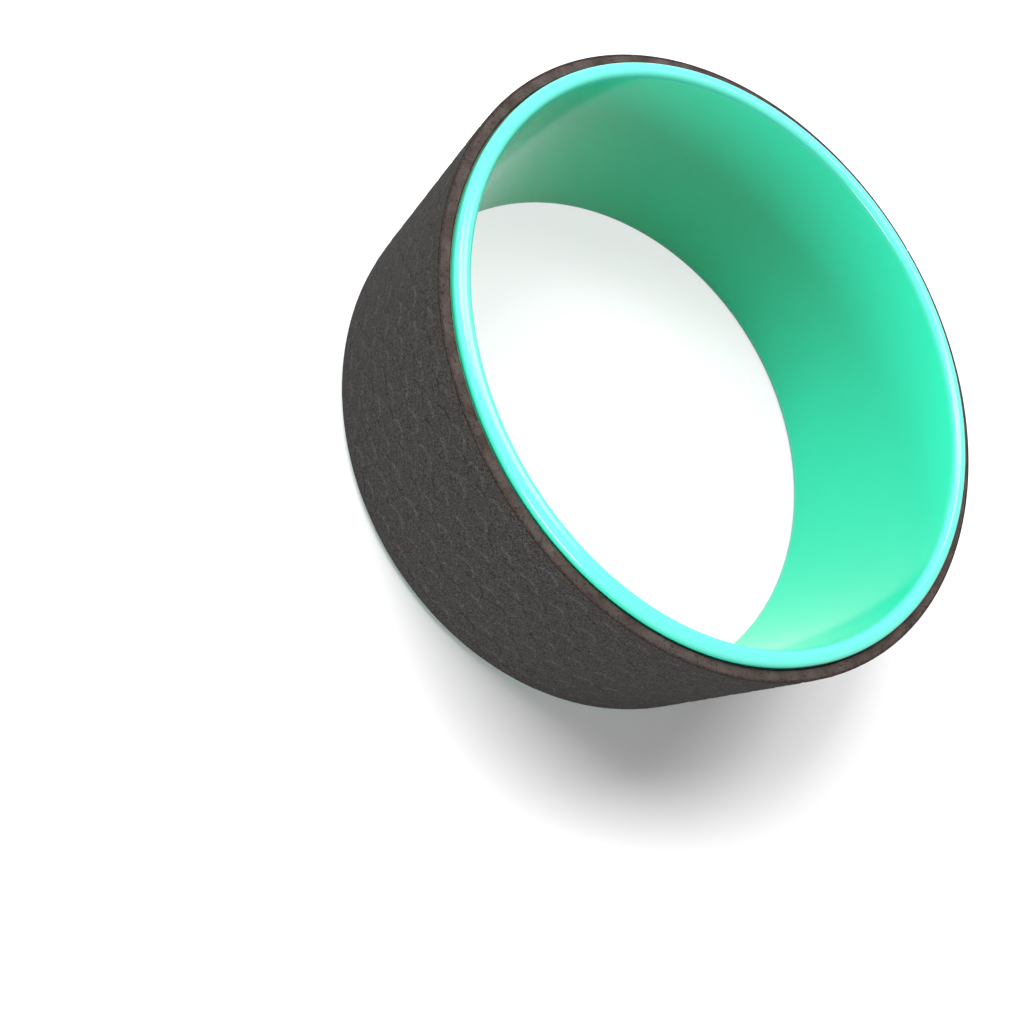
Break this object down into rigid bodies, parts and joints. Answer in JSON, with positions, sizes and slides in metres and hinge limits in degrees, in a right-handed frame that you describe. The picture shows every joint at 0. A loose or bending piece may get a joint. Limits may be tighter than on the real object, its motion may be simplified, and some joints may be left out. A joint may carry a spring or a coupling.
{
  "type": "yoga wheel",
  "caption": "Rigid glossy plastic hoop with rounded rims and a cushioned, embossed grip mat glued round its outside, used to roll on and support the back in stretches.",
  "frame": {"origin": "centre of the plane of the lower rim, on the wheel's axis, where the wheel rests when it lies flat", "axes": "+Z along the wheel's axis, from the lower rim to the upper one; the mat's butt seam is on the +Y side"},
  "size_m": [0.33, 0.33, 0.13],
  "materials": {
    "hoop_plastic": "glossy moulded, mint green all through",
    "glue": "cured clear film, hidden under the mat",
    "mat_foam": "raw cut foam edge, warm dark grey",
    "mat_skin": "matte dark grey, embossed with short wavy ridges"
  },
  "bodies": {
    "root": {"hoop": "hoop_plastic", "glue_film": "glue", "foam_layer": "mat_foam", "grip_skin": "mat_skin"}
  },
  "joints": []
}
